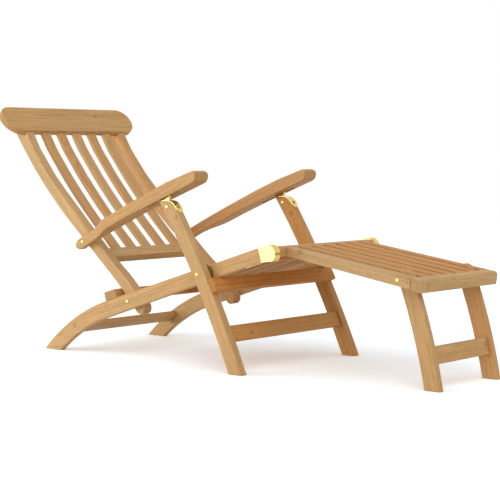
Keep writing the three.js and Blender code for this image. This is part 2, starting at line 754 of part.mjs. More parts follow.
function armPlaces() {
  const flareSteps = rowPlaces(ARM_FLARE_RINGS, (ARM_FLARE_END - ARM_FLARE_START) / (ARM_FLARE_RINGS - 1));
  const flareMiddle = (ARM_FLARE_START + ARM_FLARE_END) / 2;
  const straight = ARM_REACH - ARM_NOSE_UNDER - ARM_FLARE_END;
  const body = ARM_BODY_SHARES.map((share) => ARM_FLARE_END + straight * share);
  const nose = ARM_NOSE_SHARES.map((share) => ARM_REACH - ARM_NOSE_UNDER + ARM_NOSE_UNDER * share);
  return [0, ...flareSteps.map((step) => flareMiddle + step), ...body, ...nose];
}

function armRear(side) {
  const middle = (armTop(-ARM_REAR_PLACE) + armUnder(-ARM_REAR_PLACE)) / 2;
  return ARM_REAR_TURNS.map((degrees) => {
    const turn = THREE.MathUtils.degToRad(degrees);
    const rise = ARM_REAR_RADIUS * Math.cos(turn);
    const place = -ARM_REAR_PLACE - ARM_REAR_RADIUS * Math.sin(turn);
    return armRing(side, place, ARM_INNER_HALF, ARM_REAR_HALF, middle - rise, middle + rise);
  });
}

function slotCutter(side, start, end, low, high, half) {
  const outline = rectangle(onArm, start, end, low, high);
  return sideSlab(side, outline, SLOT_HALF - half, SLOT_HALF + half);
}

const slotTop = armUnder((SLOT_START + SLOT_END) / 2) + SLOT_DEPTH;

function arm(side) {
  const rings = [...armRear(side), ...armPlaces().map((place) => armRing(side, place, ...armSection(place)))];
  return cut(loft(rings), [
    slotCutter(side, SLOT_START, SLOT_END, slotTop - ARM_DEPTH, slotTop, SLOT_WIDE / 2),
    boltHole(side, ARM_PIVOT, ARM_INNER_HALF - OVERRUN, ARM_REAR_HALF + OVERRUN),
  ]);
}

// The rack's notches are a lug's length wide, with a tooth between each two
function rack(side) {
  const low = slotTop - FIT - RACK_BACK;
  const half = SLOT_WIDE / 2 - FIT;
  const plate = slotCutter(side, SLOT_START + FIT, SLOT_END - FIT, low, slotTop - FIT, half);
  const teeth = Array.from({ length: NOTCHES + 1 }, (_, notch) => {
    const start = lugOnArm + notchPitch / 2 - notch * notchPitch - RACK_TOOTH_LONG / 2;
    return slotCutter(side, start, start + RACK_TOOTH_LONG, low - RACK_TOOTH, slotTop - RACK_BACK, half);
  });
  return join(plate, teeth);
}

// Front legs: arcs about one far centre, so that the leg bows forward
function bowedLeg(foot, rise, radius) {
  const turn = THREE.MathUtils.degToRad(rise - QUARTER);
  const center = new THREE.Vector2(foot + radius * Math.cos(turn), radius * Math.sin(turn));
  const degreesAt = (height, reach) => {
    const lift = THREE.MathUtils.radToDeg(Math.asin((height - center.y) / reach));
    return HALF_TURN - lift;
  };
  const frameAt = (height) => {
    const degrees = degreesAt(height, radius);
    const [spot] = arcPoints(center, radius, degrees, degrees, 1);
    return axesAt(spot, degrees - QUARTER, 1);
  };
  return { center, radius, degreesAt, frameAt };
}

const frontLeg = bowedLeg(LEG_FOOT, LEG_FOOT_RISE, LEG_BOW_RADIUS);
const propLeg = bowedLeg(PROP_FOOT, PROP_FOOT_RISE, PROP_BOW_RADIUS);

// The rounded corner at the front of the leg's top
const legFace = LEG_BOW_RADIUS + LEG_WIDE / 2;
const legBack = LEG_BOW_RADIUS - LEG_WIDE / 2;
const legTopRise = frontLeg.degreesAt(LEG_HEIGHT, legFace) - QUARTER;
const [legTopCorner] = arcPoints(frontLeg.center, legFace, legTopRise + QUARTER, 0, 1);
const legTopSpan = LEG_TOP_RADIUS * Math.tan(THREE.MathUtils.degToRad(legTopRise / 2));
const legTopRound = new THREE.Vector2(legTopCorner.x + legTopSpan, LEG_HEIGHT - LEG_TOP_RADIUS);
const onLegFace = axesAt(
  arcPoints(legTopRound, LEG_TOP_RADIUS, QUARTER + legTopRise, 0, 1)[0], legTopRise + HALF_TURN, -1,
);
const onLegCross = frontLeg.frameAt(LEG_CROSS_HEIGHT);
const onLegStretcher = frontLeg.frameAt(LEG_STRETCHER_HEIGHT);

function legOutline() {
  const face = arcPoints(
    frontLeg.center, legFace, frontLeg.degreesAt(onLegFace(0, 0).y, legFace), frontLeg.degreesAt(0, legFace),
  );
  const back = arcPoints(
    frontLeg.center, legBack, frontLeg.degreesAt(0, legBack), frontLeg.degreesAt(LEG_HEIGHT, legBack),
  );
  const top = arcPoints(legTopRound, LEG_TOP_RADIUS, QUARTER, QUARTER + legTopRise, CURVE_STEPS / 2);
  return [...back, ...top, ...face.slice(1)];
}

function legStretcherTenon() {
  const half = LEG_STRETCHER_WIDE / 2 - TENON_SHOULDER;
  const middle = legStretcherFront - LEG_STRETCHER_THICK / 2;
  return [-half, half, middle - TENON_THICK / 2, middle + TENON_THICK / 2];
}

// The lug's tang is shorter front to back than the lug, so that the leg's rear edge covers it
const lugFront = LUG_PLACE - LUG_LONG / 2;

function lugOutline(long, low, high, grow) {
  return rectangle(level, lugFront - grow, lugFront + long + grow, low, high);
}

function frontLegPost(side) {
  const tang = lugOutline(LUG_TANG_LONG, LEG_HEIGHT - LUG_TANG - FIT, LEG_HEIGHT + OVERRUN, FIT);
  const lugHalf = LUG_THICK / 2 + FIT;
  return cut(sideSlab(side, legOutline(), LEG_INNER_HALF, LEG_OUTER_HALF, EDGE_EASE), [
    boltHole(side, LEG_PIVOT, LEG_INNER_HALF - OVERRUN, LEG_OUTER_HALF + OVERRUN),
    boltHole(side, HOOK_BOLT, LEG_INNER_HALF - OVERRUN, LEG_OUTER_HALF + OVERRUN),
    sideSlab(side, tang, SLOT_HALF - lugHalf, SLOT_HALF + lugHalf),
    mortise(side, onLegStretcher, ...legStretcherTenon(), LEG_INNER_HALF),
    screwHole(side),
  ]);
}

function legCrossRail() {
  const rear = LEG_WIDE / 2 + FIT;
  const half = LEG_CROSS_WIDE / 2;
  const outline = roundedRectangle(onLegCross, -half, half, rear, rear + LEG_CROSS_THICK);
  return slab(outline, -LEG_OUTER_HALF, LEG_OUTER_HALF, EDGE_EASE);
}

function legStretcher() {
  const half = LEG_STRETCHER_WIDE / 2;
  const rear = legStretcherFront - LEG_STRETCHER_THICK;
  const outline = roundedRectangle(onLegStretcher, -half, half, rear, legStretcherFront);
  return tenonedBar(outline, rectangle(onLegStretcher, ...legStretcherTenon()), LEG_INNER_HALF);
}

// Brass hook: a strap over the leg's rounded corner, and a lug that stands in the arm's slot
function strapOutline() {
  const inner = LEG_TOP_RADIUS + FIT;
  const outer = inner + HOOK_THICK;
  const round = CURVE_STEPS / 2;
  const under = arcPoints(legTopRound, inner, QUARTER, QUARTER + legTopRise, round);
  const over = arcPoints(legTopRound, outer, QUARTER + legTopRise, QUARTER, round);
  const rear = LUG_PLACE + LUG_LONG / 2;
  const low = LEG_HEIGHT + FIT;
  const tip = [onLegFace(HOOK_DROP, FIT), onLegFace(HOOK_DROP, FIT + HOOK_THICK)];
  return [new THREE.Vector2(rear, low), ...under, ...tip, ...over, new THREE.Vector2(rear, low + HOOK_THICK)];
}

function strapFront(side) {
  const half = HOOK_WIDE / 2;
  const low = onLegFace(HOOK_DROP, 0).y;
  const face = new THREE.Shape();
  face.absarc(side * hookMiddle, low + half, half, Math.PI, Math.PI * 2, false);
  face.lineTo(side * hookMiddle + half, LEG_HEIGHT + HOOK_THICK + OVERRUN);
  face.lineTo(side * hookMiddle - half, LEG_HEIGHT + HOOK_THICK + OVERRUN);
  const depth = LUG_PLACE + LUG_LONG - LEG_FOOT;
  const settings = { depth, bevelEnabled: false, curveSegments: CURVE_STEPS };
  const geometry = new THREE.ExtrudeGeometry(face, settings);
  geometry.rotateX(THREE.MathUtils.degToRad(QUARTER));
  geometry.translate(0, LUG_PLACE + LUG_LONG, 0);
  return geometry;
}

function hook(side) {
  const half = HOOK_WIDE / 2;
  const bent = sideSlab(side, strapOutline(), hookMiddle - half, hookMiddle + half);
  const strap = common(bent, strapFront(side));
  const plates = [
    lugOutline(LUG_LONG, LEG_HEIGHT + FIT, LEG_HEIGHT + LUG_RISE, 0),
    lugOutline(LUG_TANG_LONG, LEG_HEIGHT - LUG_TANG, LEG_HEIGHT + LUG_RISE, 0),
  ].map((outline) => sideSlab(side, outline, SLOT_HALF - LUG_THICK / 2, SLOT_HALF + LUG_THICK / 2));
  const whole = join(strap, plates);
  return cut(whole, [boltHole(side, HOOK_BOLT, LEG_INNER_HALF, LEG_OUTER_HALF), screwHole(side)]);
}

// Screw through the strap, square to the rounded corner
function screwPlaced(side, geometry) {
  const turn = THREE.MathUtils.degToRad(HOOK_SCREW_TURN);
  const reach = LEG_TOP_RADIUS + FIT + HOOK_THICK;
  geometry.rotateX(turn);
  geometry.translate(
    side * hookMiddle, legTopRound.x + reach * Math.cos(turn), legTopRound.y + reach * Math.sin(turn),
  );
  return geometry;
}

function screwHole(side) {
  const long = HOOK_SCREW_LONG + FIT + OVERRUN;
  const radius = HOOK_SCREW_SHANK + FIT;
  const geometry = new THREE.CylinderGeometry(radius, radius, long, ROUND_SIDES);
  geometry.translate(0, OVERRUN - long / 2, 0);
  return screwPlaced(side, geometry);
}

function hookScrew(side) {
  const profile = new THREE.Path();
  profile.moveTo(0, -HOOK_SCREW_LONG);
  profile.lineTo(HOOK_SCREW_SHANK, -HOOK_SCREW_LONG);
  profile.lineTo(HOOK_SCREW_SHANK, FIT);
  profile.lineTo(HOOK_SCREW_HEAD, FIT);
  profile.quadraticCurveTo(HOOK_SCREW_HEAD, BOLT_HEAD_TALL, 0, BOLT_HEAD_TALL);
  const turned = new THREE.LatheGeometry(profile.getPoints(CORNER_STEPS + CORNER_STEPS), ROUND_SIDES);
  const slots = [[HOOK_SCREW_HEAD, SCREW_SLOT], [SCREW_SLOT, HOOK_SCREW_HEAD]].map(([wide, long]) => {
    const slot = new THREE.BoxGeometry(wide, BOLT_HEAD_TALL, long);
    slot.translate(0, BOLT_HEAD_TALL, 0);
    return slot;
  });
  return screwPlaced(side, cut(turned, slots));
}

function rubDisc(side) {
  const outer = LEG_INNER_HALF - FIT;
  const disc = sideRod(side, LEG_PIVOT, DISC_RADIUS, RAIL_OUTER_HALF + FIT, outer);
  return cut(disc, [boltHole(side, LEG_PIVOT, RAIL_OUTER_HALF - OVERRUN, outer + OVERRUN)]);
}

// Leg rest
const restTongueLow = REST_TOP - REST_SLAT_THICK + (REST_SLAT_THICK - TENON_THICK) / 2;

function restTongue(start, end) {
  return [start - TENON_LENGTH, end + TENON_LENGTH, restTongueLow, restTongueLow + TENON_THICK];
}

// The tongues of the leg rest's rails and slats all lie at one height in the hinge rail and the end rail
function tonguedOutline(start, end, startDepth, endDepth) {
  const [tongueStart, tongueEnd, low, high] = restTongue(start, end);
  return [
    onRest(start, REST_TOP), onRest(start, high), onRest(tongueStart, high), onRest(tongueStart, low),
    onRest(start, low), onRest(start, REST_TOP - startDepth),
    onRest(end, REST_TOP - endDepth), onRest(end, low), onRest(tongueEnd, low), onRest(tongueEnd, high),
    onRest(end, high), onRest(end, REST_TOP),
  ];
}

const restStart = REST_HINGE_FRONT + FIT;
const restStop = REST_END_PLACE - FIT;
const restSideWide = REST_RAIL_OUTER - REST_RAIL_INNER;
const restSideMiddle = (REST_RAIL_OUTER + REST_RAIL_INNER) / 2;

function restSideRail(side) {
  const outline = tonguedOutline(restStart, restStop, REST_RAIL_REAR_DEPTH, REST_RAIL_FRONT_DEPTH);
  const body = sideSlab(side, outline, REST_RAIL_INNER, REST_RAIL_OUTER);
  return cut(body, [boltHole(side, PROP_PIVOT, REST_RAIL_INNER - OVERRUN, REST_RAIL_OUTER + OVERRUN)]);
}

function restSlat(center) {
  const outline = tonguedOutline(restStart, restStop, REST_SLAT_THICK, REST_SLAT_THICK);
  return centredSlab(outline, center, REST_SLAT_WIDE);
}

function restMortises() {
  const [start, end, low, high] = restTongue(restStart, restStop);
  const outline = mortiseOutline(onRest, start, end, low, high);
  const slats = restSlatPlaces.map((center) => centredSlab(outline, center, REST_SLAT_WIDE + FIT + FIT));
  const rails = [-1, 1].map((side) => {
    return centredSlab(outline, side * restSideMiddle, restSideWide + FIT + FIT);
  });
  return [...slats, ...rails];
}

function restHingeRail() {
  const outline = roundedRectangle(
    onRest, -REST_HINGE_REAR, REST_HINGE_FRONT, -REST_HINGE_BELOW, REST_TOP, CORNER_RADIUS + CORNER_RADIUS,
  );
  const half = STILE_OUTER_HALF - RUN_FIT;
  const pinHoles = [-1, 1].map((side) => {
    const deep = STILE_OUTER_HALF - HINGE_PIN_REACH - FIT;
    return sideRod(side, HINGE, HINGE_PIN_RADIUS + FIT, deep, half + OVERRUN);
  });
  return cut(slab(outline, -half, half, EDGE_EASE), [...restMortises(), ...pinHoles]);
}

function restEndRail() {
  const front = REST_END_PLACE + REST_END_THICK;
  const low = REST_TOP - REST_END_DEPTH;
  const corners = rectangle(onRest, REST_END_PLACE, front, low, REST_TOP);
  const nose = new THREE.QuadraticBezierCurve(
    onRest(front, REST_TOP - REST_NOSE), onRest(front, REST_TOP), onRest(front - REST_NOSE, REST_TOP),
  );
  const outline = [corners[0], corners[1], ...nose.getPoints(CURVE_STEPS / 2), corners[3]];
  return cut(slab(outline, -REST_RAIL_OUTER, REST_RAIL_OUTER, EDGE_EASE), restMortises());
}

// Legs that turn under the leg rest
const onPropStretcher = propLeg.frameAt(PROP_STRETCHER_HEIGHT);
const propFace = PROP_BOW_RADIUS + PROP_WIDE / 2;
const propBack = PROP_BOW_RADIUS - PROP_WIDE / 2;

function propOutline() {
  const high = PROP_PIVOT.y - PROP_NECK;
  const face = arcPoints(
    propLeg.center, propFace, propLeg.degreesAt(high, propFace), propLeg.degreesAt(0, propFace),
  );
  const back = arcPoints(
    propLeg.center, propBack, propLeg.degreesAt(0, propBack), propLeg.degreesAt(high, propBack),
  );
  const top = arcPoints(PROP_PIVOT, PROP_TOP_RADIUS, -PROP_TOP_WRAP, HALF_TURN + PROP_TOP_WRAP);
  return [...back, ...top, ...face];
}

function propStretcherTenon() {
  const half = PROP_STRETCHER_WIDE / 2 - TENON_SHOULDER;
  const low = PROP_STRETCHER_FORWARD - TENON_THICK / 2;
  return [-half, half, low, low + TENON_THICK];
}

function prop(side) {
  return cut(sideSlab(side, propOutline(), PROP_INNER_HALF, PROP_OUTER_HALF, EDGE_EASE), [
    boltHole(side, PROP_PIVOT, PROP_INNER_HALF - OVERRUN, PROP_OUTER_HALF + OVERRUN),
    mortise(side, onPropStretcher, ...propStretcherTenon(), PROP_INNER_HALF),
  ]);
}

function propStretcher() {
  const half = PROP_STRETCHER_WIDE / 2;
  const rear = PROP_STRETCHER_FORWARD - PROP_STRETCHER_THICK / 2;
  const outline = roundedRectangle(onPropStretcher, -half, half, rear, rear + PROP_STRETCHER_THICK);
  return tenonedBar(outline, rectangle(onPropStretcher, ...propStretcherTenon()), PROP_INNER_HALF);
}

// Assembly, from the seat outwards
const blindTip = STILE_INNER_HALF + BLIND_END + FIT;

function buildSeat() {
  for (const [side, name] of SIDES) {
    add(`seat_rail_${name}`, seatRail(side), paleTimber());
    add(`hinge_cap_${name}`, hingeCap(side), polishedBrass());
    add(`hinge_pin_${name}`, hingePin(side), polishedBrass());
    add(`back_pivot_bolt_${name}`, bolt(side, BACK_PIVOT, RAIL_OUTER_HALF, blindTip), polishedBrass());
  }
  add('recline_stop_bar', stopBar(), goldenTimber());
  add('rear_stretcher', rearStretcher(), goldenTimber());
  for (const [name, place, thick, below] of seatBars) {
    add(name, seatBar(place, thick, below), brownTimber());
  }
  rowPlaces(SEAT_SLATS, SEAT_SLAT_WIDE + SEAT_SLAT_GAP).forEach((center, index) => {
    add(`seat_slat_${index + 1}`, seatSlat(center), goldenTimber());
  });
}

function buildBack() {
  for (const [side, name] of SIDES) {
    add(`back_stile_${name}`, stile(side), paleTimber());
  }
  add('back_bottom_rail', backRail(), goldenTimber());
  backSlatPlaces.forEach((center, index) => {
    add(`back_slat_${index + 1}`, backSlat(center), goldenTimber());
  });
  add('headrest', headrest(), paleTimber());
}

function buildArms() {
  for (const [side, name] of SIDES) {
    add(`arm_${name}`, arm(side), paleTimber());
    add(`arm_rack_${name}`, rack(side), polishedBrass());
    add(`arm_pivot_bolt_${name}`, bolt(side, ARM_PIVOT, ARM_REAR_HALF, blindTip), polishedBrass());
  }
}

function buildFrontLegs() {
  for (const [side, name] of SIDES) {
    add(`front_leg_${name}`, frontLegPost(side), paleTimber());
    add(`leg_pivot_bolt_${name}`, bolt(side, LEG_PIVOT, LEG_OUTER_HALF, RAIL_INNER_HALF), polishedBrass());
    add(`leg_rub_disc_${name}`, rubDisc(side), polishedBrass());
    add(`arm_hook_${name}`, hook(side), polishedBrass());
    add(`hook_bolt_${name}`, throughBolt(side, HOOK_BOLT, LEG_OUTER_HALF, LEG_INNER_HALF), polishedBrass());
    add(`hook_screw_${name}`, hookScrew(side), polishedBrass());
  }
  add('front_leg_cross_rail', legCrossRail(), brownTimber());
  add('front_leg_stretcher', legStretcher(), goldenTimber());
}

function buildLegRest() {
  for (const [side, name] of SIDES) {
    add(`leg_rest_side_rail_${name}`, restSideRail(side), paleTimber());
    add(`prop_leg_${name}`, prop(side), paleTimber());
    add(`prop_bolt_${name}`, bolt(side, PROP_PIVOT, REST_RAIL_OUTER, PROP_INNER_HALF), polishedBrass());
  }
  add('leg_rest_hinge_rail', restHingeRail(), goldenTimber());
  add('leg_rest_end_rail', restEndRail(), goldenTimber());
  restSlatPlaces.forEach((center, index) => {
    add(`leg_rest_slat_${index + 1}`, restSlat(center), goldenTimber());
  });
  add('prop_leg_stretcher', propStretcher(), goldenTimber());
}

buildSeat();
buildBack();
buildArms();
buildFrontLegs();
buildLegRest();

// The middle of the chair's floor area is the origin
const box = new THREE.Box3().setFromObject(model);
const middle = box.getCenter(new THREE.Vector3());
model.position.set(0, -middle.y, 0);

export default chair;
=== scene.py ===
import json
import math

import bmesh
import bpy
from mathutils import Matrix, Vector

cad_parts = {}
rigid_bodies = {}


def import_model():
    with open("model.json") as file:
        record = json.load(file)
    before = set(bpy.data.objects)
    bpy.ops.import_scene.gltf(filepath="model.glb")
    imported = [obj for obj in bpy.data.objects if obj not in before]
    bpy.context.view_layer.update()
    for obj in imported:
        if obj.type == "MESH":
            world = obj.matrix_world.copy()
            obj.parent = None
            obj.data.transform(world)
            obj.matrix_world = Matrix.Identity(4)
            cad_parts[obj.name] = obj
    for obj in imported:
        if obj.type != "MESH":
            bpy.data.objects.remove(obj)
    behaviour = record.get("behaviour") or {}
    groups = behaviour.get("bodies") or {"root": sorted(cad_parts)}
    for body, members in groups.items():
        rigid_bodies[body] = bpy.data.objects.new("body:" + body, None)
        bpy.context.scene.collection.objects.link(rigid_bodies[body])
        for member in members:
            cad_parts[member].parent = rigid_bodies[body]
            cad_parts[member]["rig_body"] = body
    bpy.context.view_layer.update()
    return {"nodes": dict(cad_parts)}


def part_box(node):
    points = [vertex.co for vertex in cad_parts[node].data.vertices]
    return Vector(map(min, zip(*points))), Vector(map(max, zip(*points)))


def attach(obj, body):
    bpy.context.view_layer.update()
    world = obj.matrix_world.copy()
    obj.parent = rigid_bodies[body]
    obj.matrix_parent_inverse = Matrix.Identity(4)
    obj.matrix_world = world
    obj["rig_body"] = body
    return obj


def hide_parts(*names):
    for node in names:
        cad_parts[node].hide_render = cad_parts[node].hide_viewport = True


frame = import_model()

bl_info = {
    "name": "Steamer Deck Chair",
    "version": (1, 0, 0),
    "blender": (4, 5, 0),
    "location": "View3D > Sidebar > Deck Chair",
    "description": "Dresses the folding slatted deck chair in oiled hardwood and polished brass",
    "category": "Object",
}

MM = 0.001

# A solid's copy: how close its points merge, how flat its faces join, past which angle an edge
# of a sawn or a turned piece is rounded, in how many steps, and up to which it shades smooth
WELD = 0.01 * MM
FLAT_WITHIN = math.radians(0.6)
SAWN_CORNER = math.radians(25)
TURNED_CORNER = math.radians(50)
ROUNDING_STEPS = 2
SMOOTH_WITHIN = math.radians(50)

# A board in its log: the step along the log and the turn round the pith, in degrees, from one
# board to the next, and how far the pith lies aside of a board and under it, with its sway
LOG_STEP = 0.731
LOG_TURN = 137.5
PITH_ASIDE = 0.055
PITH_UNDER = 0.045
PITH_SWAY = 0.03

# Timber patterns, in features per metre along, across and through the board
WANDER_SCALE = (5.0, 22.0, 22.0)
STREAK_SCALE = (4.0, 130.0, 130.0)
CLOUD_SCALE = (2.5, 16.0, 16.0)
PORE_SCALE = (34.0, 650.0, 650.0)
SPECK_SCALE = (120.0, 330.0, 330.0)

# How strongly each timber pattern shows
RING_SHARE = 0.45
PORE_SHARE = 0.42
END_SHARE = 0.35
# The paler edge is partly wear and partly a painted highlight
EDGE_WEAR_AND_HIGHLIGHT_SHARE = 0.2
STREAK_DARKEST = 0.80
STREAK_PALEST = 1.18
SPECK_FAINTEST = 0.05
SPECK_STRONGEST = 0.75

# What the patterns do to a board's own red, green and blue
WARM_TINT = (1.02, 0.96, 0.88)
COOL_TINT = (1.0, 1.01, 1.02)
PORE_TINT = (0.55, 0.40, 0.26)
END_TINT = (0.45, 0.45, 0.45)
# Edge wear and painted edge highlight: how much paler the edges are made
EDGE_WEAR_AND_HIGHLIGHT_GAIN = 1.25
EDGE_WEAR_AND_HIGHLIGHT_LIFT = 0.02

# Oil on open pores: a weaker and lower gloss than a film of varnish has
OILED_IOR = 1.4
OILED_SPECULAR = 0.3

# Reaches: of the paler edge, partly wear and partly painted highlight, of a knot cluster and its
# heart, and of the painted shade in a recess
EDGE_WEAR_AND_HIGHLIGHT_REACH = 3.0 * MM
KNOT_REACH = 14.0 * MM
KNOT_HEART = 4.0 * MM
RECESS_SHADE_REACH = 3.0 * MM

# Brass: clouds per metre, polishing lines per metre, and how far painted shade darkens a recess
DULLING_SCALE = 45.0
POLISHING_SCALE = (40.0, 60.0, 1400.0)
RECESS_SHADE_SHARE = 0.8
RECESS_SHADE_TINT = (0.4, 0.4, 0.4)

# The stage: the floor's half width, how it lights the chair and how it is seen, then the lights
FLOOR_HALF = 9.0
FLOOR_LIT = (0.80, 0.80, 0.80, 1.0)
# Seen a little bluish: a painted cool tint that cancels the warm light the wood throws into the
# floor's shadow
FLOOR_SEEN = (1.38, 1.46, 1.51, 1.0)
OVERHEAD_PLACE = (-5.0, -4.6, 5.4)
OVERHEAD_SPREAD = math.radians(55)
WINDOW_PLACE = (-4.0, 3.6, 1.2)
WINDOW_TARGET = (0.0, -0.1, 0.4)
WINDOW_WIDTH = 4.0
WINDOW_HEIGHT = 2.4
SENSOR_WIDTH = 36.0
CAMERA_SEES_TO = 100.0

# Directions that the boards were sawn along, in the row frame
ACROSS = Vector((1, 0, 0))


def slope(degrees):
    """Direction in the side plane, rising rearwards by an angle"""
    turn = math.radians(degrees)
    return Vector((0, math.cos(turn), math.sin(turn)))


SEAT_LINE = slope(-17.1)
BACK_LINE = slope(45)
ARM_LINE = slope(156.4)
LEG_LINE = slope(64.5)
REST_LINE = slope(8.5)
PROP_LINE = slope(76)

# Five timber tones, since boards from different logs differ: from the palest to the reddest
STRAW = "#ceaa76"
GOLDEN = "#cca46e"
HONEY = "#cca06a"
AMBER = "#cc9858"
RUSSET = "#ce904c"

# Each board: its node, the way it was sawn, and its timber tone
SEAT_FRAME_BOARDS = [
    ("seat_rail_right", SEAT_LINE, STRAW),
    ("seat_rail_left", SEAT_LINE, STRAW),
    ("recline_stop_bar", ACROSS, GOLDEN),
    ("rear_stretcher", ACROSS, STRAW),
    ("seat_front_rail", ACROSS, RUSSET),
    ("seat_rear_rail", ACROSS, RUSSET),
]
SEAT_SLAT_BOARDS = [
    ("seat_slat_1", SEAT_LINE, HONEY),
    ("seat_slat_2", SEAT_LINE, HONEY),
    ("seat_slat_3", SEAT_LINE, AMBER),
    ("seat_slat_4", SEAT_LINE, AMBER),
    ("seat_slat_5", SEAT_LINE, AMBER),
]
BACK_BOARDS = [
    ("back_stile_right", BACK_LINE, STRAW),
    ("back_stile_left", BACK_LINE, HONEY),
    ("back_bottom_rail", ACROSS, STRAW),
    ("headrest", ACROSS, GOLDEN),
]
BACK_SLAT_BOARDS = [
    ("back_slat_1", BACK_LINE, GOLDEN),
    ("back_slat_2", BACK_LINE, HONEY),
    ("back_slat_3", BACK_LINE, STRAW),
    ("back_slat_4", BACK_LINE, HONEY),
    ("back_slat_5", BACK_LINE, GOLDEN),
]
ARM_BOARDS = [
    ("arm_right", ARM_LINE, GOLDEN),
    ("arm_left", ARM_LINE, HONEY),
]
FRONT_LEG_BOARDS = [
    ("front_leg_right", LEG_LINE, STRAW),
    ("front_leg_left", LEG_LINE, AMBER),
    ("front_leg_cross_rail", ACROSS, RUSSET),
    ("front_leg_stretcher", ACROSS, AMBER),
]
LEG_REST_BOARDS = [
    ("leg_rest_side_rail_right", REST_LINE, STRAW),
    ("leg_rest_side_rail_left", REST_LINE, AMBER),
    ("leg_rest_hinge_rail", ACROSS, HONEY),
    ("leg_rest_end_rail", ACROSS, STRAW),
]
LEG_REST_SLAT_BOARDS = [(f"leg_rest_slat_{place}", REST_LINE, AMBER) for place in range(1, 6)]
PROP_BOARDS = [
    ("prop_leg_right", PROP_LINE, GOLDEN),
    ("prop_leg_left", PROP_LINE, HONEY),
    ("prop_leg_stretcher", ACROSS, GOLDEN),
]

# Clusters of pin knots: the board, and where on it each cluster shows, in the row frame
KNOTS = {
    "headrest": [(0.1362, 0.8396, 0.8091)],
    "seat_rail_right": [(-0.264, 0.5252, 0.0926)],
    "front_leg_right": [(-0.302, 0.0129, 0.476)],
    "front_leg_left": [(0.272, 0.0159, 0.4703)],
    "leg_rest_side_rail_right": [
        (-0.204, -0.4083, 0.3802), (-0.204, -0.8032, 0.3148),
    ],
    "front_leg_stretcher": [(-0.1773, -0.194, 0.1183)],
    "front_leg_cross_rail": [(0.2312, -0.143, 0.2815)],
    "leg_rest_end_rail": [(-0.171, -0.8454, 0.3008)],
    "prop_leg_stretcher": [(0.128, -0.8503, 0.1063)],
}

# The wood's middling colour, which the late wood's tint is measured from
SANDED_WOOD = "#cda275"

# The brass fittings by kind, and those left bare, olive with age and darker also as painted shade
# for the gaps they sit in
HINGE_BRASS = [
    "hinge_cap_right", "hinge_cap_left", "hinge_pin_right", "hinge_pin_left",
    "leg_rub_disc_right", "leg_rub_disc_left",
]
BOLT_BRASS = [
    "back_pivot_bolt_right", "back_pivot_bolt_left",
    "arm_pivot_bolt_right", "arm_pivot_bolt_left",
    "leg_pivot_bolt_right", "leg_pivot_bolt_left",
    "hook_bolt_right", "hook_bolt_left", "hook_screw_right", "hook_screw_left",
    "prop_bolt_right", "prop_bolt_left",
]
HOOK_BRASS = ["arm_hook_right", "arm_hook_left", "arm_rack_right", "arm_rack_left"]
AGED_SHADED_BRASS = ["hook_screw_right", "hook_screw_left", "leg_rub_disc_right", "leg_rub_disc_left"]


def linear(hex_colour):
    """An sRGB hex colour as linear red, green, blue and alpha"""
    parts = [int(hex_colour[place:place + 2], 16) / 255 for place in (1, 3, 5)]
    return [c / 12.92 if c <= 0.04045 else ((c + 0.055) / 1.055) ** 2.4 for c in parts] + [1.0]


class TimberSettings(bpy.types.PropertyGroup):
    """Sizes and finish of the oiled boards"""
    edge_radius: bpy.props.FloatProperty(
        name="Edge Radius", description="Rounding of the sanded edges",
        default=0.6 * MM, min=0.0, unit="LENGTH", subtype="DISTANCE")
    ring_spacing: bpy.props.FloatProperty(
        name="Ring Spacing", description="Distance between growth rings",
        default=5.0 * MM, min=0.5 * MM, unit="LENGTH", subtype="DISTANCE")
    roughness: bpy.props.FloatProperty(
        name="Roughness", description="Roughness of the oiled surface",
        default=0.56, min=0.0, max=1.0, subtype="FACTOR")
    late_wood: bpy.props.FloatVectorProperty(
        name="Late Wood", description="Tint of the darker half of each growth ring",
        default=linear("#bb8457")[:3], size=3, min=0.0, max=1.0, subtype="COLOR")
    knot: bpy.props.FloatVectorProperty(
        name="Knot", description="Colour of the pin knots",
        default=linear("#7a4420")[:3], size=3, min=0.0, max=1.0, subtype="COLOR")


class BrassSettings(bpy.types.PropertyGroup):
    """Finish of the brass fittings"""
    colour: bpy.props.FloatVectorProperty(
        name="Brass", description="Colour of the polished brass",
        default=linear("#e2c97a")[:3], size=3, min=0.0, max=1.0, subtype="COLOR")
    dulled: bpy.props.FloatVectorProperty(
        name="Dulled Brass", description="Colour where the brass has dulled",
        default=linear("#c9ab62")[:3], size=3, min=0.0, max=1.0, subtype="COLOR")
    # Bare brass, darker partly with age and partly as painted shade for the small pieces that sit
    # in gaps
    aged_shaded: bpy.props.FloatVectorProperty(
        name="Aged Brass", description="Colour of the bare brass that has aged",
        default=linear("#a58c50")[:3], size=3, min=0.0, max=1.0, subtype="COLOR")
    roughness: bpy.props.FloatProperty(
        name="Roughness", description="Roughness of the polished brass",
        default=0.28, min=0.0, max=1.0, subtype="FACTOR")
    edge_radius: bpy.props.FloatProperty(
        name="Edge Radius", description="Rounding of the polished edges",
        default=0.2 * MM, min=0.0, unit="LENGTH", subtype="DISTANCE")


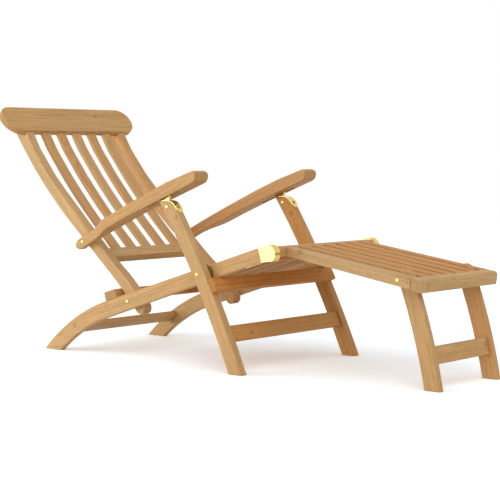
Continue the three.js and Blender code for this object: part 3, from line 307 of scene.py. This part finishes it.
class StageSettings(bpy.types.PropertyGroup):
    """Camera and studio light"""
    camera_place: bpy.props.FloatVectorProperty(
        name="Camera Place", description="Where the camera stands",
        default=(-3.6311, -3.16526, 0.6794), size=3, unit="LENGTH", subtype="TRANSLATION")
    camera_turn: bpy.props.FloatProperty(
        name="Camera Turn", description="How far the camera looks round from +Y towards +X",
        default=math.radians(49.22), unit="ROTATION", subtype="ANGLE")
    camera_dip: bpy.props.FloatProperty(
        name="Camera Dip", description="How far the camera looks down",
        default=math.radians(3.82), unit="ROTATION", subtype="ANGLE")
    lens: bpy.props.FloatProperty(
        name="Lens", description="Focal length for a sensor 36 mm wide",
        default=105.64, min=1.0)
    sky_light: bpy.props.FloatProperty(
        name="Overhead Light",
        description="Strength of the wide soft light from above on the near side",
        default=0.76, min=0.0)
    window_power: bpy.props.FloatProperty(
        name="Window Light",
        description="Power of the low soft light that the brass caps mirror",
        default=105.0, min=0.0, unit="POWER")
    room_light: bpy.props.FloatProperty(
        name="Room Light", description="Strength of the light from all round",
        default=0.64, min=0.0)


def node_with(tree, kind, settings=None, links=None):
    """Adds a shader node, with its settings and its inputs' values or links"""
    made = tree.nodes.new(kind)
    for key, value in (settings or {}).items():
        setattr(made, key, value)
    for key, value in (links or {}).items():
        if isinstance(value, bpy.types.NodeSocket):
            tree.links.new(value, made.inputs[key])
        else:
            made.inputs[key].default_value = value
    return made


def empty_material(name, shader):
    """A material with one shader, in its default state, as its surface"""
    material = bpy.data.materials.new(name)
    material.use_nodes = True
    tree = material.node_tree
    tree.nodes.clear()
    surface = node_with(tree, shader)
    node_with(tree, "ShaderNodeOutputMaterial", None, {"Surface": surface.outputs["BSDF"]})
    return material, tree, surface


def tinted_by(tone, tint):
    """A linear colour with its red, green and blue each multiplied"""
    return [value * share for value, share in zip(tone, tint)] + [1.0]


def log_placing(corners, line, seed):
    """How a board lies in its log: the turn that lays its length along X, and the pith beside it"""
    side = ACROSS if abs(line.x) < 0.5 else Vector((0, 0, 1))
    turn = Matrix((line, side, line.cross(side)))
    low, high = corners
    middle = turn @ ((low + high) / 2)
    swing = math.radians(LOG_TURN * seed)
    pith = Vector((
        LOG_STEP * seed, PITH_ASIDE * math.cos(swing), PITH_UNDER + PITH_SWAY * math.sin(swing)))
    return turn.to_euler(), pith - middle


def oiled_hardwood(node, line, colour, seed):
    """Teak-like hardwood, planed, sanded and oiled: satin, with warm growth rings, long soft
    streaks, short dark pores, darker ends, and edges made paler partly by wear and partly as a
    painted highlight"""
    settings = bpy.context.scene.chair_timber
    material, tree, surface = empty_material(
        f"oiled_hardwood_planed_{node}", "ShaderNodeBsdfPrincipled")
    turn, place = log_placing(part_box(node), line, seed)
    coordinate = node_with(tree, "ShaderNodeTexCoord").outputs
    log = node_with(tree, "ShaderNodeMapping", {"vector_type": "POINT"}, {
        "Vector": coordinate["Object"], "Rotation": turn, "Location": place}).outputs["Vector"]

    # Slow wander of the rings, 0.2 m long and 45 mm across, by up to 8 mm to either side
    slow = node_with(tree, "ShaderNodeVectorMath", {"operation": "MULTIPLY"}, {
        0: log, 1: WANDER_SCALE}).outputs[0]
    wander = node_with(tree, "ShaderNodeTexNoise", None, {
        "Vector": slow, "Scale": 1.0, "Detail": 2.0}).outputs["Color"]
    centred = node_with(tree, "ShaderNodeVectorMath", {"operation": "SUBTRACT"}, {
        0: wander, 1: (0.5, 0.5, 0.5)}).outputs[0]
    shifted = node_with(tree, "ShaderNodeVectorMath", {"operation": "MULTIPLY_ADD"}, {
        0: centred, 1: (0.0, 16.0 * MM, 16.0 * MM), 2: log}).outputs[0]

    # Growth rings round the pith; a wave texture's rings are pi/10 apart at scale 1
    rings = node_with(tree, "ShaderNodeTexWave", {"wave_type": "RINGS", "rings_direction": "X"}, {
        "Vector": shifted, "Scale": math.pi / 10 / settings.ring_spacing,
        "Distortion": 0.8, "Detail": 2.0, "Detail Scale": 0.6}).outputs["Fac"]

    # Streaks, from 8 mm across and 0.25 m long down to 0.5 mm across
    streak_space = node_with(tree, "ShaderNodeVectorMath", {"operation": "MULTIPLY"}, {
        0: log, 1: STREAK_SCALE}).outputs[0]
    streaks = node_with(tree, "ShaderNodeTexNoise", None, {
        "Vector": streak_space, "Scale": 1.0, "Detail": 4.0, "Roughness": 0.72}).outputs["Fac"]

    # Warm and cool cloudiness of the heartwood, about 60 mm across and 0.4 m long
    cloud_space = node_with(tree, "ShaderNodeVectorMath", {"operation": "MULTIPLY"}, {
        0: log, 1: CLOUD_SCALE}).outputs[0]
    clouds = node_with(tree, "ShaderNodeTexNoise", None, {
        "Vector": cloud_space, "Scale": 1.0, "Detail": 2.0}).outputs["Fac"]

    # Pores: real ones are 0.3 mm across, drawn 1.5 mm across and 30 mm long so that they show
    pore_space = node_with(tree, "ShaderNodeVectorMath", {"operation": "MULTIPLY"}, {
        0: log, 1: PORE_SCALE}).outputs[0]
    pore_noise = node_with(tree, "ShaderNodeTexNoise", None, {
        "Vector": pore_space, "Scale": 1.0, "Detail": 1.0}).outputs["Fac"]
    pores = node_with(tree, "ShaderNodeMapRange", None, {
        "Value": pore_noise, "From Min": 0.57, "From Max": 0.68}).outputs["Result"]

    # The board's own colour, clouded, ringed, streaked and pored in turn
    own = linear(colour)
    sanded = linear(SANDED_WOOD)
    late = [own[k] * settings.late_wood[k] / sanded[k] for k in range(3)] + [1.0]
    warmth = node_with(tree, "ShaderNodeMapRange", None, {
        "Value": clouds, "From Min": 0.35, "From Max": 0.65}).outputs["Result"]
    clouded = node_with(tree, "ShaderNodeMix", {"data_type": "RGBA"}, {
        "Factor": warmth, 6: tinted_by(own, COOL_TINT), 7: tinted_by(own, WARM_TINT)}).outputs[2]
    ring_amount = node_with(tree, "ShaderNodeMath", {"operation": "MULTIPLY"}, {
        0: rings, 1: RING_SHARE}).outputs[0]
    ringed = node_with(tree, "ShaderNodeMix", {"data_type": "RGBA"}, {
        "Factor": ring_amount, 6: clouded, 7: late}).outputs[2]
    streak_amount = node_with(tree, "ShaderNodeMapRange", None, {
        "Value": streaks, "From Min": 0.3, "From Max": 0.7,
        "To Min": STREAK_DARKEST, "To Max": STREAK_PALEST}).outputs["Result"]
    streaked = node_with(tree, "ShaderNodeVectorMath", {"operation": "SCALE"}, {
        0: ringed, "Scale": streak_amount}).outputs[0]
    pore_amount = node_with(tree, "ShaderNodeMath", {"operation": "MULTIPLY"}, {
        0: pores, 1: PORE_SHARE}).outputs[0]
    pored = node_with(tree, "ShaderNodeMix", {"data_type": "RGBA"}, {
        "Factor": pore_amount, 6: streaked, 7: tinted_by(own, PORE_TINT)}).outputs[2]

    # Sawn ends drink more oil and turn darker
    facing = node_with(tree, "ShaderNodeVectorMath", {"operation": "DOT_PRODUCT"}, {
        0: coordinate["Normal"], 1: tuple(line)}).outputs["Value"]
    level = node_with(tree, "ShaderNodeMath", {"operation": "ABSOLUTE"}, {0: facing}).outputs[0]
    end_amount = node_with(tree, "ShaderNodeMapRange", None, {
        "Value": level, "From Min": 0.8, "From Max": 1.0, "To Max": END_SHARE}).outputs["Result"]
    ended = node_with(tree, "ShaderNodeMix", {"data_type": "RGBA"}, {
        "Factor": end_amount, 6: pored, 7: tinted_by(own, END_TINT)}).outputs[2]

    # Paler edges, partly handling wear and partly a painted highlight: where the rounded normal
    # leaves the face's own
    rounded = node_with(tree, "ShaderNodeBevel", {"samples": 4}, {
        "Radius": EDGE_WEAR_AND_HIGHLIGHT_REACH}).outputs["Normal"]
    flat = node_with(tree, "ShaderNodeNewGeometry").outputs["Normal"]
    sameness = node_with(tree, "ShaderNodeVectorMath", {"operation": "DOT_PRODUCT"}, {
        0: rounded, 1: flat}).outputs["Value"]
    edge_wear_and_highlight = node_with(tree, "ShaderNodeMapRange", None, {
        "Value": sameness, "From Min": 0.99, "From Max": 0.90,
        "To Max": EDGE_WEAR_AND_HIGHLIGHT_SHARE}).outputs["Result"]
    pale = [min(1.0, value * EDGE_WEAR_AND_HIGHLIGHT_GAIN + EDGE_WEAR_AND_HIGHLIGHT_LIFT) for value in own[:3]] + [1.0]
    shown = node_with(tree, "ShaderNodeMix", {"data_type": "RGBA"}, {
        "Factor": edge_wear_and_highlight, 6: ended, 7: pale}).outputs[2]

    # Clusters of pin knots: reddish specks 3 mm across and 8 mm long in a patch 28 mm across
    speck_space = node_with(tree, "ShaderNodeVectorMath", {"operation": "MULTIPLY"}, {
        0: log, 1: SPECK_SCALE}).outputs[0]
    speck_noise = node_with(tree, "ShaderNodeTexNoise", None, {
        "Vector": speck_space, "Scale": 1.0, "Detail": 1.0}).outputs["Fac"]
    specks = node_with(tree, "ShaderNodeMapRange", None, {
        "Value": speck_noise, "From Min": 0.5, "From Max": 0.6,
        "To Min": SPECK_FAINTEST, "To Max": SPECK_STRONGEST}).outputs["Result"]
    for spot in KNOTS.get(node, []):
        away = node_with(tree, "ShaderNodeVectorMath", {"operation": "DISTANCE"}, {
            0: coordinate["Object"], 1: spot}).outputs["Value"]
        patch = node_with(tree, "ShaderNodeMapRange", {"interpolation_type": "SMOOTHSTEP"}, {
            "Value": away, "From Min": KNOT_REACH, "From Max": KNOT_HEART}).outputs["Result"]
        inside = node_with(tree, "ShaderNodeMath", {"operation": "MULTIPLY"}, {
            0: patch, 1: specks}).outputs[0]
        shown = node_with(tree, "ShaderNodeMix", {"data_type": "RGBA"}, {
            "Factor": inside, 6: shown, 7: list(settings.knot) + [1.0]}).outputs[2]
    tree.links.new(shown, surface.inputs["Base Color"])

    # Satin oil, glossier on the dark streaks, over a relief of open pores and proud late wood
    gloss = node_with(tree, "ShaderNodeMapRange", None, {
        "Value": streaks, "From Min": 0.3, "From Max": 0.7,
        "To Min": settings.roughness - 0.05,
        "To Max": settings.roughness + 0.07}).outputs["Result"]
    tree.links.new(gloss, surface.inputs["Roughness"])
    surface.inputs["IOR"].default_value = OILED_IOR
    surface.inputs["Specular IOR Level"].default_value = OILED_SPECULAR
    relief = node_with(tree, "ShaderNodeMath", {"operation": "MULTIPLY_ADD"}, {
        0: pores, 1: -1.0, 2: rings}).outputs[0]
    bump = node_with(tree, "ShaderNodeBump", None, {
        "Height": relief, "Strength": 0.15, "Distance": 0.15 * MM}).outputs["Normal"]
    tree.links.new(bump, surface.inputs["Normal"])
    return material


def brass(aged_shaded):
    """Brass with a faint drawn grain, duller clouds where hands have touched it and painted shade
    darkening its recesses: cast and sheet fittings polished and lacquered to a pale yellow gold,
    screws and washers left bare, olive with age and darker also as painted shade. Each kind is made
    once"""
    settings = bpy.context.scene.chair_brass
    name = "brass_bare_aged_shaded" if aged_shaded else "brass_polished_lacquered"
    if name in bpy.data.materials:
        return bpy.data.materials[name]
    material, tree, surface = empty_material(name, "ShaderNodeBsdfPrincipled")
    place = node_with(tree, "ShaderNodeTexCoord").outputs["Object"]

    # Clouds of dulling, from 22 mm across down to 6 mm
    clouds = node_with(tree, "ShaderNodeTexNoise", None, {
        "Vector": place, "Scale": DULLING_SCALE, "Detail": 2.0, "Roughness": 0.5}).outputs["Fac"]
    dulling = node_with(tree, "ShaderNodeMapRange", None, {
        "Value": clouds, "From Min": 0.45, "From Max": 0.8, "To Max": 0.35}).outputs["Result"]
    clean = settings.aged_shaded if aged_shaded else settings.colour
    handled = node_with(tree, "ShaderNodeMix", {"data_type": "RGBA"}, {
        "Factor": dulling, 6: list(clean) + [1.0], 7: list(settings.dulled) + [1.0]}).outputs[2]

    # Painted shade: recesses and corners darkened by ambient occlusion
    openness = node_with(tree, "ShaderNodeAmbientOcclusion", {"samples": 4, "only_local": True}, {
        "Distance": RECESS_SHADE_REACH}).outputs["AO"]
    painted_recess_shade = node_with(tree, "ShaderNodeMapRange", None, {
        "Value": openness, "From Min": 0.85, "From Max": 0.45,
        "To Max": RECESS_SHADE_SHARE}).outputs["Result"]
    shown = node_with(tree, "ShaderNodeMix", {"data_type": "RGBA"}, {
        "Factor": painted_recess_shade, 6: handled, 7: tinted_by(settings.aged_shaded, RECESS_SHADE_TINT)}).outputs[2]
    tree.links.new(shown, surface.inputs["Base Color"])

    gloss = node_with(tree, "ShaderNodeMapRange", None, {
        "Value": clouds, "From Min": 0.3, "From Max": 0.8,
        "To Min": settings.roughness - 0.05,
        "To Max": settings.roughness + 0.08}).outputs["Result"]
    tree.links.new(gloss, surface.inputs["Roughness"])
    surface.inputs["Metallic"].default_value = 1.0

    # Polishing lines, drawn 0.7 mm apart so that they show
    drawn = node_with(tree, "ShaderNodeVectorMath", {"operation": "MULTIPLY"}, {
        0: place, 1: POLISHING_SCALE}).outputs[0]
    lines = node_with(tree, "ShaderNodeTexNoise", None, {
        "Vector": drawn, "Scale": 1.0, "Detail": 1.0}).outputs["Fac"]
    bump = node_with(tree, "ShaderNodeBump", None, {
        "Height": lines, "Strength": 0.05, "Distance": 0.03 * MM}).outputs["Normal"]
    tree.links.new(bump, surface.inputs["Normal"])
    return material


def dressed(node, ending, radius, material, corner):
    """A merged copy of a piece, its outer edges rounded where they turn more than the corner's
    angle, shown in its place"""
    source = frame["nodes"][node]
    shape = bmesh.new()
    shape.from_mesh(source.data)
    bmesh.ops.remove_doubles(shape, verts=shape.verts, dist=WELD)
    bmesh.ops.dissolve_limit(
        shape, angle_limit=FLAT_WITHIN, use_dissolve_boundaries=False,
        verts=shape.verts, edges=shape.edges, delimit=set())
    sharp = [
        edge for edge in shape.edges
        if edge.is_manifold and edge.is_convex and edge.calc_face_angle(0.0) > corner
    ]
    bmesh.ops.bevel(
        shape, geom=sharp, offset=radius, offset_type="OFFSET", segments=ROUNDING_STEPS,
        profile=0.5, affect="EDGES", clamp_overlap=False, material=-1, loop_slide=True)
    bmesh.ops.recalc_face_normals(shape, faces=shape.faces)
    if not shape.faces:
        raise RuntimeError(f"{node} came out empty")
    mesh = bpy.data.meshes.new(f"{node}_{ending}")
    shape.to_mesh(mesh)
    shape.free()
    mesh.shade_smooth()
    mesh.set_sharp_from_angle(angle=SMOOTH_WITHIN)
    mesh.materials.append(material)
    piece = bpy.data.objects.new(f"{node}_{ending}", mesh)
    bpy.context.scene.collection.objects.link(piece)
    weighted = piece.modifiers.new("even_shading", "WEIGHTED_NORMAL")
    weighted.keep_sharp = True
    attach(piece, source["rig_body"])
    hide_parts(node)


def dress_boards(boards, first_seed):
    """Every board of a group gets its own cut of timber"""
    radius = bpy.context.scene.chair_timber.edge_radius
    for place, (node, line, colour) in enumerate(boards):
        timber = oiled_hardwood(node, line, colour, first_seed + place)
        dressed(node, "board", radius, timber, SAWN_CORNER)


def dress_fittings(nodes, corner):
    """Every fitting of a group gets its brass"""
    radius = bpy.context.scene.chair_brass.edge_radius
    for node in nodes:
        dressed(node, "fitting", radius, brass(node in AGED_SHADED_BRASS), corner)


class CHAIR_OT_seat_frame(bpy.types.Operator):
    """Dresses the swept side rails and the bars between them"""
    bl_idname = "chair.seat_frame"
    bl_label = "Seat Frame"

    def execute(self, context):
        dress_boards(SEAT_FRAME_BOARDS, first_seed=1)
        return {"FINISHED"}


class CHAIR_OT_seat_slats(bpy.types.Operator):
    """Dresses the five seat slats"""
    bl_idname = "chair.seat_slats"
    bl_label = "Seat Slats"

    def execute(self, context):
        dress_boards(SEAT_SLAT_BOARDS, first_seed=11)
        return {"FINISHED"}


class CHAIR_OT_back(bpy.types.Operator):
    """Dresses the curved stiles, the bottom rail and the head plank"""
    bl_idname = "chair.back"
    bl_label = "Back"

    def execute(self, context):
        dress_boards(BACK_BOARDS, first_seed=21)
        return {"FINISHED"}


class CHAIR_OT_back_slats(bpy.types.Operator):
    """Dresses the five curved back slats"""
    bl_idname = "chair.back_slats"
    bl_label = "Back Slats"

    def execute(self, context):
        dress_boards(BACK_SLAT_BOARDS, first_seed=31)
        return {"FINISHED"}


class CHAIR_OT_arms(bpy.types.Operator):
    """Dresses the two flared arms"""
    bl_idname = "chair.arms"
    bl_label = "Arms"

    def execute(self, context):
        dress_boards(ARM_BOARDS, first_seed=41)
        return {"FINISHED"}


class CHAIR_OT_front_legs(bpy.types.Operator):
    """Dresses the front legs, their cross rail and their stretcher"""
    bl_idname = "chair.front_legs"
    bl_label = "Front Legs"

    def execute(self, context):
        dress_boards(FRONT_LEG_BOARDS, first_seed=51)
        return {"FINISHED"}


class CHAIR_OT_leg_rest(bpy.types.Operator):
    """Dresses the leg rest's side rails, hinge rail and end rail"""
    bl_idname = "chair.leg_rest"
    bl_label = "Leg Rest"

    def execute(self, context):
        dress_boards(LEG_REST_BOARDS, first_seed=61)
        return {"FINISHED"}


class CHAIR_OT_leg_rest_slats(bpy.types.Operator):
    """Dresses the leg rest's five slats"""
    bl_idname = "chair.leg_rest_slats"
    bl_label = "Leg Rest Slats"

    def execute(self, context):
        dress_boards(LEG_REST_SLAT_BOARDS, first_seed=71)
        return {"FINISHED"}


class CHAIR_OT_props(bpy.types.Operator):
    """Dresses the bowed legs under the leg rest and their stretcher"""
    bl_idname = "chair.props"
    bl_label = "Leg Rest Legs"

    def execute(self, context):
        dress_boards(PROP_BOARDS, first_seed=81)
        return {"FINISHED"}


class CHAIR_OT_hinge_brass(bpy.types.Operator):
    """Dresses the brass caps, their pins and the rubbing discs"""
    bl_idname = "chair.hinge_brass"
    bl_label = "Hinge Brass"

    def execute(self, context):
        dress_fittings(HINGE_BRASS, SAWN_CORNER)
        return {"FINISHED"}


class CHAIR_OT_bolts(bpy.types.Operator):
    """Dresses the domed bolts and the hooks' screws"""
    bl_idname = "chair.bolts"
    bl_label = "Bolts"

    def execute(self, context):
        dress_fittings(BOLT_BRASS, TURNED_CORNER)
        return {"FINISHED"}


class CHAIR_OT_hooks(bpy.types.Operator):
    """Dresses the hooks on the front legs and the racks under the arms"""
    bl_idname = "chair.hooks"
    bl_label = "Hooks and Racks"

    def execute(self, context):
        dress_fittings(HOOK_BRASS, SAWN_CORNER)
        return {"FINISHED"}


def seen_rays(tree):
    """1 for what the camera, a mirror or glass sees, and 0 for light that falls on the chair"""
    path = node_with(tree, "ShaderNodeLightPath").outputs
    seen = node_with(tree, "ShaderNodeMath", {"operation": "MAXIMUM"}, {
        0: path["Is Camera Ray"], 1: path["Is Glossy Ray"]}).outputs[0]
    return node_with(tree, "ShaderNodeMath", {"operation": "MAXIMUM"}, {
        0: seen, 1: path["Is Transmission Ray"]}).outputs[0]


def hung_light(name, kind, place, target):
    """A light that faces a point"""
    lamp = bpy.data.lights.new(name, kind)
    held = bpy.data.objects.new(name, lamp)
    held.location = place
    held.rotation_euler = (Vector(target) - Vector(place)).to_track_quat("-Z", "Y").to_euler()
    bpy.context.scene.collection.objects.link(held)
    return lamp


class CHAIR_OT_stage(bpy.types.Operator):
    """Lays the pale floor, hangs the studio light and sets up the camera"""
    bl_idname = "chair.stage"
    bl_label = "Stage"

    def execute(self, context):
        settings = context.scene.chair_stage
        context.scene.view_settings.view_transform = "Standard"

        # White all round for the camera and for mirrors, and dimmer where it lights the chair
        world = bpy.data.worlds.new("white_studio")
        context.scene.world = world
        world.use_nodes = True
        tree = world.node_tree
        tree.nodes.clear()
        strength = node_with(tree, "ShaderNodeMapRange", None, {
            "Value": seen_rays(tree), "To Min": settings.room_light}).outputs["Result"]
        background = node_with(tree, "ShaderNodeBackground", None, {
            "Color": (1.0, 1.0, 1.0, 1.0), "Strength": strength}).outputs["Background"]
        node_with(tree, "ShaderNodeOutputWorld", None, {"Surface": background})

        shape = bmesh.new()
        bmesh.ops.create_grid(shape, x_segments=1, y_segments=1, size=FLOOR_HALF)
        mesh = bpy.data.meshes.new("studio_floor")
        shape.to_mesh(mesh)
        shape.free()
        floor = bpy.data.objects.new("studio_floor", mesh)
        context.scene.collection.objects.link(floor)

        # Matt white paint, seen brighter than it lights the chair and with a painted cool tint
        # against the wood's warm light in its shadow: white, and still shadowed
        material, tree, surface = empty_material("floor_paint_matt", "ShaderNodeBsdfDiffuse")
        paint = node_with(tree, "ShaderNodeMix", {"data_type": "RGBA"}, {
            "Factor": seen_rays(tree), 6: FLOOR_LIT, 7: FLOOR_SEEN}).outputs[2]
        tree.links.new(paint, surface.inputs["Color"])
        mesh.materials.append(material)

        overhead = hung_light("overhead_light", "SUN", OVERHEAD_PLACE, (0.0, 0.0, 0.0))
        overhead.angle = OVERHEAD_SPREAD
        overhead.energy = settings.sky_light
        window = hung_light("window_light", "AREA", WINDOW_PLACE, WINDOW_TARGET)
        window.shape = "RECTANGLE"
        window.size = WINDOW_WIDTH
        window.size_y = WINDOW_HEIGHT
        window.energy = settings.window_power

        lens = bpy.data.cameras.new("photo_view")
        lens.sensor_width = SENSOR_WIDTH
        lens.lens = settings.lens
        lens.clip_end = CAMERA_SEES_TO
        camera = bpy.data.objects.new("photo_view", lens)
        turn, dip = settings.camera_turn, settings.camera_dip
        ahead = Vector((
            math.sin(turn) * math.cos(dip), math.cos(turn) * math.cos(dip), -math.sin(dip)))
        camera.location = settings.camera_place
        camera.rotation_euler = ahead.to_track_quat("-Z", "Y").to_euler()
        context.scene.collection.objects.link(camera)
        context.scene.camera = camera
        return {"FINISHED"}


class CHAIR_PT_panel(bpy.types.Panel):
    """Lists the deck chair's sizes, finishes and pieces"""
    bl_idname = "CHAIR_PT_panel"
    bl_label = "Deck Chair"
    bl_space_type = "VIEW_3D"
    bl_region_type = "UI"
    bl_category = "Deck Chair"

    def draw(self, context):
        scene = context.scene
        for group in (scene.chair_timber, scene.chair_brass, scene.chair_stage):
            column = self.layout.column(align=True)
            for key in group.bl_rna.properties.keys():
                if key not in ("rna_type", "name"):
                    column.prop(group, key)
        for operator in OPERATORS:
            self.layout.operator(operator.bl_idname)


OPERATORS = (
    CHAIR_OT_seat_frame, CHAIR_OT_seat_slats, CHAIR_OT_back, CHAIR_OT_back_slats, CHAIR_OT_arms,
    CHAIR_OT_front_legs, CHAIR_OT_leg_rest, CHAIR_OT_leg_rest_slats, CHAIR_OT_props,
    CHAIR_OT_hinge_brass, CHAIR_OT_bolts, CHAIR_OT_hooks, CHAIR_OT_stage,
)
SETTINGS = (
    ("chair_timber", TimberSettings),
    ("chair_brass", BrassSettings),
    ("chair_stage", StageSettings),
)


def register():
    """Adds the settings, the operators and the panel"""
    for name, group in SETTINGS:
        bpy.utils.register_class(group)
        setattr(bpy.types.Scene, name, bpy.props.PointerProperty(type=group))
    for kind in (*OPERATORS, CHAIR_PT_panel):
        bpy.utils.register_class(kind)


def unregister():
    """Takes the panel, the operators and the settings out again"""
    for kind in reversed((*OPERATORS, CHAIR_PT_panel)):
        bpy.utils.unregister_class(kind)
    for name, group in reversed(SETTINGS):
        delattr(bpy.types.Scene, name)
        bpy.utils.unregister_class(group)


def main():
    """Dresses the whole chair and sets the stage"""
    register()
    bpy.ops.chair.seat_frame()
    bpy.ops.chair.seat_slats()
    bpy.ops.chair.back()
    bpy.ops.chair.back_slats()
    bpy.ops.chair.arms()
    bpy.ops.chair.front_legs()
    bpy.ops.chair.leg_rest()
    bpy.ops.chair.leg_rest_slats()
    bpy.ops.chair.props()
    bpy.ops.chair.hinge_brass()
    bpy.ops.chair.bolts()
    bpy.ops.chair.hooks()
    bpy.ops.chair.stage()


if __name__ == "__main__":
    main()
